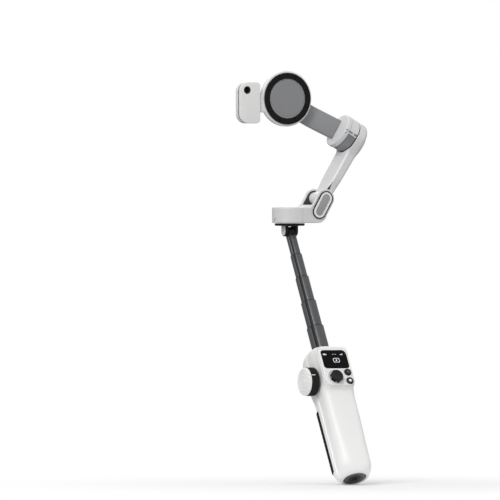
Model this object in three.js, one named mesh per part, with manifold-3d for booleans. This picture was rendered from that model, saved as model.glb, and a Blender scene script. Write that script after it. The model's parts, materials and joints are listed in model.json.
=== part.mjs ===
// Phone gimbal stabilizer on a telescopic rod: a handle with controls, five sliding rod sections,
// a tilting neck, a pan motor with a fold hinge, a lower arm with the tilt motor, an upper arm with
// the roll motor, and a round magnetic phone mount with a tracker module. Millimetres, +Z up.
// The origin is the mouth of the tripod socket in the base of the handle. The head is level and the handle
// leans back under it, so the display faces forward (-Y) and up.
import * as THREE from 'three';
import { mergeVertices } from 'three/addons/utils/BufferGeometryUtils.js';
import Module from 'manifold-3d';

const wasm = await Module();
wasm.setup();

const RAD = Math.PI / 180;
const GAP = 0.3;

// Handle, along its own axis. Depth is front (-Y) to back (+Y).
const HANDLE_LEAN = 30;
const GRIP = { width: 34, depth: 31, corner: 12, top: 90, round: 10, inset: 5 };
const HEAD = { width: 36, depth: 36, corner: 9, offset: -2, bottom: 84, full: 97, top: 131 };
const WALL = 2.2;
const SPLIT = 7;
const HEAD_FRONT = HEAD.offset - HEAD.depth / 2;
const HEAD_BACK = HEAD.offset + HEAD.depth / 2;
const HEAD_SIDE = HEAD.width / 2;
const PAD = { bottom: 10, top: 74, front: 8, thickness: 0.8 };
const SOCKET = { bore: 2.7, radius: 5.5, depth: 6 };
const END_CAP = { radius: 10.6, thickness: 2.4 };
const PANEL = {
  width: 30, bottom: 87, top: 128, corner: 5, front: HEAD_FRONT - 0.4, back: HEAD_FRONT + WALL,
};
const DISPLAY = { width: 26, height: 19, centre: 114.5, corner: 3.4, thickness: 0.8 };
const JOYSTICK = { x: -4, z: 95.5, radius: 6, stem: 2, well: 5.6, bezel: 8.4, lift: 2.4, pivot: 6 };
const BUTTON = { radius: 3.3, x: 9.6, mode: 100.6, shutter: 91.6, height: 1.4, depth: 2.2 };
const DIAL = { y: -4, z: 100, ring: 13.2, cap: 12.9, shaft: 2.5, inner: -18.6, middle: -26.4, outer: -29.9 };
const SIDE = { y: -2, z: 106, width: 9.6, height: 27, recess: 1.2 };
const TRIGGER = { z: 97, width: 9, height: 13, proud: 2.6 };
const BATTERY = { radius: 9.2, bottom: 8, top: 73 };
const GUIDE = { bore: 8.3, radius: 9.5, bottom: 78.5 };

// Telescopic rod, lowest section first. Tops are heights along the handle's axis.
const SECTIONS = [
  { name: 'rod_section_5', diameter: 16, top: 159 },
  { name: 'rod_section_4', diameter: 14.2, top: 186 },
  { name: 'rod_section_3', diameter: 12.5, top: 212 },
  { name: 'rod_section_2', diameter: 10.9, top: 236 },
  { name: 'rod_section_1', diameter: 9.4, top: 256 },
];
const ROD_OVERLAP = 12;
const TIP_WALL = 0.5;

// Neck: a tongue on the rod in a fork under the pan motor.
const PIVOT = 262;
const TONGUE = { half: 3.2, radius: 4.2 };
const FORK = { inner: 3.6, outer: 6.5, radius: 4.7, pin: 1.5 };
const BASE_DISC = { radius: 14, bottom: 5.2, top: 7.5 };

// Pan motor housing with the fold hinge's two cheeks. Heights are above the housing's underside.
const HOUSING = { bottom: 7.8, height: 14.9, radius: 16.5, half: 13.3, slot: 11, motor: 13.8, toe: 9.6 };
const LEAN = 30;
const HINGE = { x: 31, z: 22.8, cheek: 8.9, barrel: 5.6, reach: 10.6, pin: 2 };
const STADIUM = { drop: 14, ring: 6.9, cap: 5.8, inlay: 3.7, thickness: 1.2 };

// Lower arm: outward along its lean from the fold hinge to the tilt motor.
const LOWER = { length: 65, width: 24, hingeWidth: 21, thickness: 10.4, hingeThickness: 8.4, corner: 3.6 };
// The tilt motor's cup at the arm's end, and how far the arm's middle stands outward of the hinge pin.
const CUP = { radius: 16.5, inner: -1, outer: 9.2, pocket: 13.9, floor: 5.2, cover: 13 };
const OUTWARD = { hinge: 1.6, head: 4 };
// Tilt motor drum and upper arm, measured along the tilt axis towards the phone mount.
const DRUM = { near: 1.3, far: 10.4, radius: 16.5, wall: 1.9, face: 15.6 };
const UPPER = { half: 9.6, inner: 12.8, thickness: 2.9, start: 0.6, bend: 42 };
const ROLL = { radius: 15.5, front: 12.6, back: 25.6, cover: 28, wall: 2 };

// Phone mount: depths behind the middle of a held phone.
const MOUNT = { radius: 26, front: 4, face: 5.6, back: 12, pad: 24, padInner: 18.6, disc: 18.2, spokes: 8 };
const TRACKER = { left: -50, right: -28.3, drop: 3.9, height: 38.6, corner: 9, plate: 6, body: 8, back: 14 };
const LENS = { x: -42.2, rise: 11.7, radius: 3.3 };

function finish(color, roughness, metalness = 0) {
  return new THREE.MeshStandardMaterial({ color, roughness, metalness });
}

const WHITE = finish(0xeeeeec, 0.42);
const SILVER = finish(0xd3d4d6, 0.38, 0.1);
const GREY = finish(0x77797c, 0.5, 0.1);
const ROD_GREY = finish(0x5c5e61, 0.45, 0.3);
const BLACK = finish(0x1b1c1e, 0.55);
const RUBBER = finish(0x161719, 0.85);
const GLASS = finish(0x08090a, 0.12);
const STEEL = finish(0xa9abae, 0.32, 0.9);
const GREEN = finish(0x1f4d33, 0.6);
const BLUE = finish(0x3a4a68, 0.5);

const { clamp, lerp, smoothstep } = THREE.MathUtils;

// Shapes. An extrusion or a turned piece starts out along Z.

function rounded(width, height, radius, x = 0, y = 0) {
  const shape = new THREE.Shape();
  const right = x + width / 2 - radius;
  const left = x - width / 2 + radius;
  const high = y + height / 2 - radius;
  const low = y - height / 2 + radius;
  shape.absarc(right, high, radius, 0, Math.PI / 2);
  shape.absarc(left, high, radius, Math.PI / 2, Math.PI);
  shape.absarc(left, low, radius, Math.PI, Math.PI * 1.5);
  shape.absarc(right, low, radius, Math.PI * 1.5, Math.PI * 2);
  return shape;
}

function slab(shape, low, high, { steps = 1, curveSegments = 4 } = {}) {
  const settings = { depth: high - low, bevelEnabled: false, steps, curveSegments };
  return new THREE.ExtrudeGeometry(shape, settings).translate(0, 0, low);
}

function cylinder(radius, low, high, segments = 20) {
  const geometry = new THREE.CylinderGeometry(radius, radius, high - low, segments);
  return geometry.rotateX(Math.PI / 2).translate(0, 0, (low + high) / 2);
}

// A ring or a stepped round piece from [radius, height] pairs, turned about Z.
function turned(profile, segments = 24) {
  const points = profile.map(([radius, height]) => new THREE.Vector2(radius, height));
  return new THREE.LatheGeometry(points, segments).rotateX(Math.PI / 2);
}

function ring(outer, inner, low, high, segments = 24) {
  const profile = [[inner, low], [outer, low], [outer, high], [inner, high], [inner, low]];
  return turned(profile, segments);
}

function box(x, y, z) {
  const geometry = new THREE.BoxGeometry(x[1] - x[0], y[1] - y[0], z[1] - z[0]);
  return geometry.translate((x[0] + x[1]) / 2, (y[0] + y[1]) / 2, (z[0] + z[1]) / 2);
}

// Directions for pieces made along Z.
const alongX = (geometry) => geometry.rotateY(Math.PI / 2);
const alongY = (geometry) => geometry.rotateX(-Math.PI / 2);
// An outline drawn with X right and Y up, pushed back along +Y from the front.
const facingFront = (geometry) => geometry.rotateX(Math.PI / 2).scale(1, -1, 1);

// Booleans.

function toSolid(geometry) {
  const bare = geometry.clone();
  bare.deleteAttribute('normal');
  bare.deleteAttribute('uv');
  const merged = mergeVertices(bare, 1e-4);
  const solid = new wasm.Manifold(new wasm.Mesh({
    numProp: 3,
    vertProperties: new Float32Array(merged.attributes.position.array),
    triVerts: new Uint32Array(merged.index.array),
  }));
  return solid.volume() < 0 ? toSolid(flipped(merged)) : solid;
}

function flipped(geometry) {
  const index = Array.from(geometry.index.array);
  for (let i = 0; i < index.length; i += 3) {
    [index[i], index[i + 1]] = [index[i + 1], index[i]];
  }
  const turnedOver = geometry.clone();
  turnedOver.setIndex(index);
  return turnedOver;
}

function toGeometry(solid) {
  const mesh = solid.getMesh();
  const geometry = new THREE.BufferGeometry();
  geometry.setAttribute('position', new THREE.BufferAttribute(mesh.vertProperties, 3));
  geometry.setIndex(new THREE.BufferAttribute(mesh.triVerts, 1));
  geometry.computeVertexNormals();
  return geometry;
}

const join = (...pieces) => pieces.map(toSolid).reduce((whole, piece) => whole.add(piece));
const without = (whole, ...cuts) => cuts.map(toSolid).reduce((rest, piece) => rest.subtract(piece), whole);
const cut = (geometry, ...pieces) => without(toSolid(geometry), ...pieces);

function place(group, name, form, material) {
  const geometry = form instanceof THREE.BufferGeometry ? toGeometry(toSolid(form)) : toGeometry(form);
  const mesh = new THREE.Mesh(geometry, material);
  mesh.name = name;
  group.add(mesh);
}

// Handle.

const FAR = 400;
const inFront = () => box([-FAR, FAR], [-FAR, SPLIT - GAP / 2], [-FAR, FAR]);
const behind = () => box([-FAR, FAR], [SPLIT + GAP / 2, FAR], [-FAR, FAR]);

// The grip draws in over a quarter circle towards its lower end.
function gripForm(grow, low, high) {
  const outline = rounded(GRIP.width + 2 * grow, GRIP.depth + 2 * grow, GRIP.corner + grow);
  const geometry = slab(outline, 0, 1, { steps: 5 });
  const points = geometry.attributes.position;
  for (let i = 0; i < points.count; i += 1) {
    const step = Math.round(points.getZ(i) * 5);
    const z = step === 5 ? high : low + (GRIP.round * step) / 4;
    const depth = clamp(1 - z / GRIP.round, 0, 1);
    const draw = GRIP.inset * (1 - Math.sqrt(1 - depth ** 2));
    points.setX(i, points.getX(i) * (1 - (2 * draw) / GRIP.width));
    points.setY(i, points.getY(i) * (1 - (2 * draw) / GRIP.depth));
    points.setZ(i, z);
  }
  return geometry;
}

// The head grows out of the grip at its sides and back, and overhangs it in front.
function headForm(grow, low, high) {
  const outline = rounded(HEAD.width + 2 * grow, HEAD.depth + 2 * grow, HEAD.corner + grow, 0, HEAD.offset);
  const geometry = slab(outline, low, high, { steps: 5, curveSegments: 4 });
  const points = geometry.attributes.position;
  for (let i = 0; i < points.count; i += 1) {
    const rise = smoothstep(points.getZ(i), HEAD.bottom - 4, HEAD.full);
    points.setX(i, points.getX(i) * lerp(GRIP.width / HEAD.width, 1, rise));
    if (points.getY(i) > 0) {
      points.setY(i, points.getY(i) * lerp(GRIP.depth / 2 / HEAD_BACK, 1, rise));
    }
  }
  return geometry;
}

function handleShell() {
  const outer = join(gripForm(0, 0, GRIP.top), headForm(0, HEAD.bottom, HEAD.top));
  const inner = join(
    gripForm(-WALL, WALL, GRIP.top),
    headForm(-WALL, HEAD.bottom + WALL, HEAD.top - WALL),
    cylinder(END_CAP.radius + GAP, -1, BATTERY.bottom, 32),
  );
  return outer.subtract(inner).subtract(toSolid(cylinder(GUIDE.radius + GAP, GUIDE.bottom, FAR, 32)));
}

function panelOutline(margin) {
  const height = PANEL.top - PANEL.bottom + 2 * margin;
  const middle = (PANEL.top + PANEL.bottom) / 2;
  return rounded(PANEL.width + 2 * margin, height, PANEL.corner + margin, 0, middle);
}

const sideways = (geometry, x) => alongX(geometry).translate(x, 0, 0);

// A pill-shaped plate on the right side of the head, between two distances from the middle.
function sidePill(width, height, z, low, high) {
  return alongX(slab(rounded(height, width, width / 2 - 0.01, -z, SIDE.y), low, high));
}

function addHandleShells(handle) {
  const shell = handleShell();
  const opening = facingFront(slab(panelOutline(GAP), HEAD_FRONT - 4, PANEL.back + 2));
  const dialHole = sideways(cylinder(DIAL.shaft + GAP, -FAR, -10), 0).translate(0, DIAL.y, DIAL.z);
  const recessFloor = HEAD_SIDE - SIDE.recess - GAP;
  const recess = sidePill(SIDE.width + 2 * GAP, SIDE.height + 2 * GAP, SIDE.z, recessFloor, FAR);
  const ports = sidePill(SIDE.width - 2, SIDE.height - 2, SIDE.z, 10, FAR);
  const front = shell.intersect(toSolid(inFront()));
  place(handle, 'front_shell', without(front, opening, dialHole, recess, ports), WHITE);
  const around = rounded(TRIGGER.width + 0.8, TRIGGER.height + 0.8, 4, 0, TRIGGER.z);
  const triggerHole = facingFront(slab(around, 10, FAR));
  place(handle, 'rear_shell', without(shell.intersect(toSolid(behind())), triggerHole), WHITE);
}

function addGripParts(handle) {
  const lift = PAD.thickness + GAP;
  const band = toSolid(gripForm(lift, PAD.bottom, PAD.top)).subtract(toSolid(gripForm(GAP, 0, GRIP.top)));
  const rear = slab(rounded(FAR, FAR, 1, 0, PAD.front + FAR / 2), -FAR, FAR);
  place(handle, 'grip_pad', band.intersect(toSolid(rear)), RUBBER);
  place(handle, 'bottom_cap', ring(END_CAP.radius, SOCKET.radius + GAP, 0, END_CAP.thickness, 32), BLACK);
  place(handle, 'tripod_socket', ring(SOCKET.radius, SOCKET.bore, 0, SOCKET.depth), STEEL);
  place(handle, 'battery_cell', cylinder(BATTERY.radius, BATTERY.bottom, BATTERY.top), BLUE);
  place(handle, 'main_board', box([-12, 12], [-12.8, -11.6], [90, 126]), GREEN);
  place(handle, 'rod_guide', ring(GUIDE.radius, GUIDE.bore, GUIDE.bottom, HEAD.top, 32), BLACK);
}

// Round things on the control panel stand along -Y; heights are above the panel's face.
function onPanel(geometry, x, z) {
  return geometry.rotateX(Math.PI / 2).translate(x, PANEL.front, z);
}

function addPanel(handle) {
  const plate = facingFront(slab(panelOutline(0), PANEL.front, PANEL.back));
  const pane = (grow) => {
    const { width, height, corner, centre } = DISPLAY;
    return rounded(width + 2 * grow, height + 2 * grow, corner + grow, 0, centre);
  };
  const pocket = facingFront(slab(pane(GAP), -FAR, PANEL.front + DISPLAY.thickness + GAP));
  const buttonHole = (z) => onPanel(cylinder(BUTTON.radius + GAP, -9, 9), BUTTON.x, z);
  const well = onPanel(cylinder(JOYSTICK.well, -9, 9), JOYSTICK.x, JOYSTICK.z);
  const panel = cut(plate, pocket, well, buttonHole(BUTTON.mode), buttonHole(BUTTON.shutter));
  place(handle, 'control_panel', panel, WHITE);
  const glass = slab(pane(0), PANEL.front, PANEL.front + DISPLAY.thickness);
  place(handle, 'display_window', facingFront(glass), GLASS);
  const bezel = onPanel(ring(JOYSTICK.bezel, JOYSTICK.bezel - 1.4, GAP, 0.8), JOYSTICK.x, JOYSTICK.z);
  place(handle, 'joystick_bezel', bezel, WHITE);
}

function addSideParts(handle) {
  const floor = HEAD_SIDE - SIDE.recess;
  const plate = sidePill(SIDE.width, SIDE.height, SIDE.z, floor, HEAD_SIDE - GAP);
  const portHole = sidePill(3.8, 9.8, SIDE.z + 6, 0, FAR);
  const keyHole = sidePill(5.2, 10.2, SIDE.z - 6.4, 0, FAR);
  place(handle, 'side_panel', cut(plate, portHole, keyHole), SILVER);
  const port = sidePill(3.2, 9.2, SIDE.z + 6, floor - 4, HEAD_SIDE - 0.5);
  place(handle, 'usb_port', cut(port, sidePill(2.2, 8.2, SIDE.z + 6, floor - 3, FAR)), STEEL);
}

function addControls(handle) {
  const pivotDepth = -JOYSTICK.pivot;
  const { radius, stem, lift } = JOYSTICK;
  const cap = turned([[0, pivotDepth + 1.2], [stem, pivotDepth + 1.2], [stem, lift], [radius - 0.6, lift],
    [radius, lift + 0.7], [radius, lift + 1.5], [radius - 1, lift + 2.2], [0, lift + 1.6]], 24);
  place(handle, 'joystick_cap', onPanel(cap, JOYSTICK.x, JOYSTICK.z), BLACK);
  const swivel = ring(3.9, 2.7, pivotDepth - 0.8, pivotDepth + 0.8, 20);
  place(handle, 'joystick_swivel', onPanel(swivel, JOYSTICK.x, JOYSTICK.z), STEEL);
  const mode = cylinder(BUTTON.radius, -BUTTON.depth, BUTTON.height);
  place(handle, 'mode_button', onPanel(mode, BUTTON.x, BUTTON.mode), BLACK);
  const shutter = turned([[0, -BUTTON.depth], [BUTTON.radius, -BUTTON.depth], [BUTTON.radius, BUTTON.height],
    [1.8, BUTTON.height], [1.8, BUTTON.height - 0.6], [0, BUTTON.height - 0.6]], 24);
  place(handle, 'shutter_button', onPanel(shutter, BUTTON.x, BUTTON.shutter), BLACK);
  const dot = cylinder(1.4, BUTTON.height - 0.6 + GAP / 2, BUTTON.height + 0.2, 12);
  place(handle, 'shutter_dot', onPanel(dot, BUTTON.x, BUTTON.shutter), WHITE);
  const floor = HEAD_SIDE - SIDE.recess;
  place(handle, 'power_button', sidePill(4.6, 9.6, SIDE.z - 6.4, floor - 2, HEAD_SIDE + 0.9), BLACK);
  const trigger = rounded(TRIGGER.width, TRIGGER.height, 3.6, 0, TRIGGER.z);
  place(handle, 'trigger', facingFront(slab(trigger, HEAD_BACK - 3.4, HEAD_BACK + TRIGGER.proud)), BLACK);
}

function addDial(handle) {
  const knurls = 24;
  const edge = new THREE.Shape();
  for (let i = 0; i < knurls * 2; i += 1) {
    const angle = (i / (knurls * 2)) * 2 * Math.PI;
    const radius = i % 2 ? DIAL.ring : DIAL.ring - 0.5;
    edge[i ? 'lineTo' : 'moveTo'](radius * Math.cos(angle), radius * Math.sin(angle));
  }
  edge.closePath();
  const at = (geometry) => alongX(geometry).translate(0, DIAL.y, DIAL.z);
  const wheel = join(slab(edge, DIAL.middle, DIAL.inner), cylinder(DIAL.shaft, DIAL.middle + 1, -15.5));
  place(handle, 'dial_ring', at(toGeometry(wheel)), BLACK);
  const dome = turned([[0, DIAL.middle - GAP], [DIAL.cap, DIAL.middle - GAP], [DIAL.cap, DIAL.middle - 2],
    [DIAL.cap - 1.4, DIAL.outer + 0.3], [0, DIAL.outer]], 28);
  const groove = box([DIAL.outer - 1, DIAL.outer + 0.6], [-FAR, -6], [-0.6, 0.6]);
  place(handle, 'dial_cap', cut(at(dome), groove.translate(0, DIAL.y, DIAL.z)), WHITE);
}

// Rod and neck.

function addRod(handle) {
  SECTIONS.forEach((section, i) => {
    const below = i ? SECTIONS[i - 1].top : HEAD.top;
    const next = SECTIONS[i + 1];
    const bore = next ? next.diameter / 2 + GAP : section.diameter / 2 - TIP_WALL;
    const tube = ring(section.diameter / 2, bore, below - ROD_OVERLAP, section.top, 20);
    place(handle, section.name, tube, ROD_GREY);
  });
  const tip = SECTIONS[SECTIONS.length - 1];
  const plug = turned([[0, tip.top - 8], [tip.diameter / 2 - TIP_WALL - GAP, tip.top - 8],
    [tip.diameter / 2 - TIP_WALL - GAP, tip.top + GAP], [tip.diameter / 2, tip.top + GAP],
    [tip.diameter / 2, tip.top + 0.9], [0, tip.top + 0.9]], 20);
  const tongue = join(plug, box([-TONGUE.half, TONGUE.half], [-3.4, 3.4], [tip.top, PIVOT]),
    alongX(cylinder(TONGUE.radius, -TONGUE.half, TONGUE.half, 24)).translate(0, 0, PIVOT));
  const pinHole = alongX(cylinder(FORK.pin + GAP, -9, 9, 20)).translate(0, 0, PIVOT);
  place(handle, 'rod_head', without(tongue, pinHole), BLACK);
}

function addNeck(neck) {
  const ear = new THREE.Shape();
  ear.absarc(0, 0, FORK.radius, -Math.PI / 2, Math.PI / 2);
  ear.lineTo(-BASE_DISC.bottom - 1, FORK.radius);
  ear.lineTo(-BASE_DISC.bottom - 1, -FORK.radius);
  const ears = [-FORK.outer, FORK.inner].map((x) => {
    return alongX(slab(ear, x, x + FORK.outer - FORK.inner, { curveSegments: 10 }));
  });
  const webTop = BASE_DISC.bottom + GAP;
  const web = box([-FORK.inner, FORK.inner], [-FORK.radius, FORK.radius], [TONGUE.radius + GAP, webTop]);
  const fork = join(...ears, web, cylinder(BASE_DISC.radius, BASE_DISC.bottom, BASE_DISC.top, 28));
  const pinHole = alongX(cylinder(FORK.pin + GAP / 2, -9, 9, 20));
  place(neck, 'neck_fork', without(fork, pinHole), BLACK);
  place(neck, 'neck_pin', alongX(cylinder(FORK.pin, -FORK.outer, FORK.outer, 20)), STEEL);
  place(neck, 'pan_stator', ring(12.4, 3, HOUSING.bottom + GAP, HOUSING.bottom + 9, 20), STEEL);
}

// Pan housing and fold hinge, from the housing's underside.

const outward = new THREE.Vector2(Math.sin(LEAN * RAD), Math.cos(LEAN * RAD));
const stadiumFoot = { x: HINGE.x - STADIUM.drop * outward.x, z: HINGE.z - STADIUM.drop * outward.y };

// A leaning pill around the hinge pin and the foot of the cheek.
function stadium(radius) {
  const shape = new THREE.Shape();
  const start = -LEAN * RAD;
  shape.absarc(HINGE.x, HINGE.z, radius, start, start + Math.PI);
  shape.absarc(stadiumFoot.x, stadiumFoot.z, radius, start + Math.PI, start + 2 * Math.PI);
  return shape;
}

// The hinge end sticks out past the turned drum; its outline is seen from the front.
function housingBody() {
  const drum = cylinder(HOUSING.radius, 0, HOUSING.height, 32);
  const wing = new THREE.Shape();
  const shoulder = stadiumFoot.x - STADIUM.ring - 1;
  wing.moveTo(0, -HOUSING.radius + GAP);
  wing.lineTo(shoulder, -HOUSING.half);
  wing.lineTo(stadiumFoot.x, -HOUSING.half);
  wing.lineTo(stadiumFoot.x, HOUSING.half);
  wing.lineTo(shoulder, HOUSING.half);
  wing.lineTo(0, HOUSING.radius - GAP);
  const bridge = slab(wing, 0, HOUSING.height);
  const roundEnd = alongY(cylinder(HOUSING.toe, -HOUSING.half, HOUSING.half, 32));
  const toe = roundEnd.translate(stadiumFoot.x - 1, 0, HOUSING.toe);
  const cheeks = facingFront(slab(stadium(HINGE.cheek), -HOUSING.half, HOUSING.half, { curveSegments: 8 }));
  return join(drum, bridge, toe, cheeks);
}

// The arm's barrel and the arm itself, from upright to folded flat, pass between the cheeks.
function armSlot() {
  const slot = new THREE.Shape();
  const radius = HINGE.barrel + 0.5;
  slot.absarc(HINGE.x, HINGE.z, radius, -Math.PI / 2, -LEAN * RAD);
  slot.lineTo(HINGE.x + 40 * outward.x + 3 * radius, HINGE.z + 40 * outward.y);
  slot.lineTo(HINGE.x - 40, HINGE.z + 40);
  slot.lineTo(HINGE.x - 40, HINGE.z - radius);
  return facingFront(slab(slot, -HOUSING.slot, HOUSING.slot, { curveSegments: 8 }));
}

function addPan(pan) {
  const cavity = cylinder(HOUSING.motor, -1, HOUSING.height - 2.2, 28);
  const bore = alongY(cylinder(HINGE.pin + GAP / 2, -FAR, FAR, 20)).translate(HINGE.x, 0, HINGE.z);
  place(pan, 'pan_housing', without(housingBody(), cavity, armSlot(), bore), SILVER);
  const flange = cylinder(7, HOUSING.height - 4.6, HOUSING.height - 2.5, 24);
  place(pan, 'pan_spindle', join(cylinder(2.4, 1, HOUSING.height - 3.4, 20), flange), STEEL);
  const pin = alongY(cylinder(HINGE.pin, -HOUSING.half, HOUSING.half, 20));
  place(pan, 'fold_pin', pin.translate(HINGE.x, 0, HINGE.z), STEEL);
  const sides = { front: -1, rear: 1 };
  Object.entries(sides).forEach(([side, sign]) => {
    const layer = (outer, inner, top) => {
      const outline = stadium(outer);
      if (inner) {
        outline.holes.push(stadium(inner));
      }
      const low = HOUSING.half + GAP;
      const plate = facingFront(slab(outline, low, low + top, { curveSegments: 8 }));
      return sign < 0 ? plate.scale(1, -1, 1) : plate;
    };
    place(pan, `fold_trim_${side}`, layer(STADIUM.ring, STADIUM.cap + 0.2, STADIUM.thickness - 0.2), BLACK);
    place(pan, `fold_cap_${side}`, layer(STADIUM.cap, STADIUM.inlay + 0.2, STADIUM.thickness), WHITE);
    place(pan, `fold_inlay_${side}`, layer(STADIUM.inlay, 0, STADIUM.thickness - 0.1), GREY);
  });
}

// Lower arm: +Z along the arm from the hinge, +X outward. It widens and thickens from the hinge to the cup.

function armBar() {
  const length = LOWER.length - 6;
  const outline = rounded(LOWER.thickness, LOWER.width, LOWER.corner);
  const geometry = slab(outline, 0, length, { steps: 8, curveSegments: 3 });
  const points = geometry.attributes.position;
  for (let i = 0; i < points.count; i += 1) {
    const z = points.getZ(i);
    const rise = z / length;
    const thickness = lerp(LOWER.hingeThickness / LOWER.thickness, 1, rise);
    const width = lerp(LOWER.hingeWidth / LOWER.width, 1, smoothstep(z, 10, 24));
    points.setX(i, points.getX(i) * thickness + lerp(OUTWARD.hinge, OUTWARD.head, rise));
    points.setY(i, points.getY(i) * width);
  }
  return geometry;
}

function addLowerArm(arm) {
  const atCup = (geometry) => alongX(geometry).translate(0, 0, LOWER.length);
  const cup = atCup(cylinder(CUP.radius, CUP.inner, CUP.outer, 32));
  const barrel = alongY(cylinder(HINGE.barrel, -HINGE.reach, HINGE.reach, 28));
  const bore = alongY(cylinder(HINGE.pin + GAP, -FAR, FAR, 20));
  const pocket = atCup(cylinder(CUP.pocket, -FAR, CUP.floor, 28));
  const seat = atCup(cylinder(CUP.cover + GAP, CUP.outer - 1.6, FAR, 28));
  const drumRoom = atCup(cylinder(DRUM.radius + 0.6, -FAR, CUP.inner, 32));
  place(arm, 'lower_arm', without(join(armBar(), cup, barrel), bore, pocket, seat, drumRoom), SILVER);
  place(arm, 'tilt_motor_cover', atCup(cylinder(CUP.cover, CUP.outer - 1.3, CUP.outer, 28)), SILVER);
  place(arm, 'tilt_stator', atCup(ring(12.2, 3.1, 1 - DRUM.far, CUP.floor - GAP, 20)), STEEL);
}

// Upper arm: +Z along the tilt axis towards the mount, +X along the lower arm, +Y back.
// It leaves the motor's end disc near the axis and slants back to pass behind the phone.

function strap(low, high, reach) {
  const slant = (UPPER.inner - UPPER.start) / (UPPER.bend - DRUM.face);
  const along = Math.hypot(1, slant);
  const shape = new THREE.Shape();
  const start = DRUM.face + GAP;
  shape.moveTo(start, -UPPER.start - low * along);
  shape.lineTo(start, -UPPER.start - high * along);
  shape.lineTo(UPPER.bend - high * (along - 1) / slant, -UPPER.inner - high);
  shape.lineTo(reach, -UPPER.inner - high);
  shape.lineTo(reach, -UPPER.inner - low);
  shape.lineTo(UPPER.bend - low * (along - 1) / slant, -UPPER.inner - low);
  const across = slab(shape, -UPPER.half, UPPER.half);
  return across.rotateY(-Math.PI / 2).rotateZ(Math.PI);
}

function addUpperArm(arm, reach) {
  const shell = turned([[DRUM.radius - DRUM.wall, DRUM.near], [DRUM.radius, DRUM.near],
    [DRUM.radius, DRUM.far], [DRUM.radius - DRUM.wall, DRUM.far], [DRUM.radius - DRUM.wall, DRUM.near]], 32);
  place(arm, 'tilt_drum', shell, GREY);
  const disc = turned([[0, DRUM.far + GAP], [DRUM.radius, DRUM.far + GAP], [DRUM.radius, DRUM.face - 1.2],
    [DRUM.radius - 1.2, DRUM.face], [0, DRUM.face]], 32);
  place(arm, 'tilt_rotor', join(disc, cylinder(2.6, -3, DRUM.face - 2, 20)), SILVER);
  const motor = alongY(cylinder(ROLL.radius + GAP, -FAR, FAR, 32)).translate(0, 0, reach);
  place(arm, 'upper_arm', cut(strap(0, UPPER.thickness, reach), motor), GREY);
  const cover = strap(UPPER.thickness + GAP, 2 * UPPER.thickness + GAP, reach);
  place(arm, 'upper_arm_cover', cut(cover, motor), SILVER);
}

// Pieces about the roll axis: +Z forward out of the mount, X right, Y up. Depths are taken behind the phone.

function behindPhone(profile, segments) {
  return turned(profile.map(([radius, depth]) => [radius, -depth]), segments);
}

const roundPlate = (radius, front, back, segments) => cylinder(radius, -back, -front, segments);
const flatPlate = (shape, front, back, options) => slab(shape, -back, -front, options);

function addRollMotor(arm) {
  const inner = ROLL.radius - ROLL.wall;
  const floor = ROLL.front + ROLL.wall;
  const cup = behindPhone([[3.2, ROLL.front], [ROLL.radius - 1, ROLL.front], [ROLL.radius, ROLL.front + 1],
    [ROLL.radius, ROLL.back], [inner, ROLL.back], [inner, floor], [3.2, floor], [3.2, ROLL.front]], 32);
  place(arm, 'roll_motor_housing', cup, WHITE);
  const lid = behindPhone([[0, ROLL.back + GAP], [ROLL.radius, ROLL.back + GAP],
    [ROLL.radius, ROLL.cover - 1.2], [ROLL.radius - 1.4, ROLL.cover], [0, ROLL.cover]], 32);
  place(arm, 'roll_motor_cover', lid, SILVER);
  place(arm, 'roll_stator', ring(12.6, 3.2, -ROLL.back + 2, -floor - GAP, 20), STEEL);
}

function trackerOutline(margin) {
  const width = TRACKER.right - TRACKER.left;
  const height = TRACKER.height - 2 * margin;
  const middle = (TRACKER.right + TRACKER.left) / 2;
  return rounded(width - 2 * margin, height, TRACKER.corner - margin, middle, -TRACKER.drop);
}

function addMount(mount) {
  const rim = MOUNT.radius - 0.8;
  const disc = behindPhone([[0, MOUNT.face], [rim, MOUNT.face], [MOUNT.radius, MOUNT.face + 0.8],
    [MOUNT.radius, MOUNT.back - 1.6], [MOUNT.radius - 1.6, MOUNT.back], [0, MOUNT.back]], 32);
  const bridgeHeight = [-9 - TRACKER.drop, 9 - TRACKER.drop];
  const bridge = box([TRACKER.right + GAP, -18], bridgeHeight, [0.6 - MOUNT.back, -MOUNT.face - 0.8]);
  const groove = ring(22.3, 19.6, -MOUNT.face - 2.6, -MOUNT.face + 1, 28);
  place(mount, 'mount_housing', without(join(disc, bridge), groove), WHITE);
  place(mount, 'magnet_ring', ring(22, 19.9, -MOUNT.face - 2.3, -MOUNT.face - 0.1, 28), STEEL);
  const pad = ring(MOUNT.pad, MOUNT.padInner, -MOUNT.face + GAP, -MOUNT.front, 32);
  const spokes = Array.from({ length: MOUNT.spokes }, (_, i) => {
    const spoke = box([0, FAR], [-0.4, 0.4], [-MOUNT.front - 0.5, 1]);
    return spoke.rotateZ((i + 0.5) * 2 * Math.PI / MOUNT.spokes);
  });
  place(mount, 'mount_pad', cut(pad, ...spokes), RUBBER);
  place(mount, 'mount_disc', roundPlate(MOUNT.disc, MOUNT.front + 0.4, MOUNT.face - GAP, 28), GREY);
  place(mount, 'roll_shaft', roundPlate(2.8, MOUNT.back + GAP, ROLL.back - 1, 20), STEEL);
}

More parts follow.
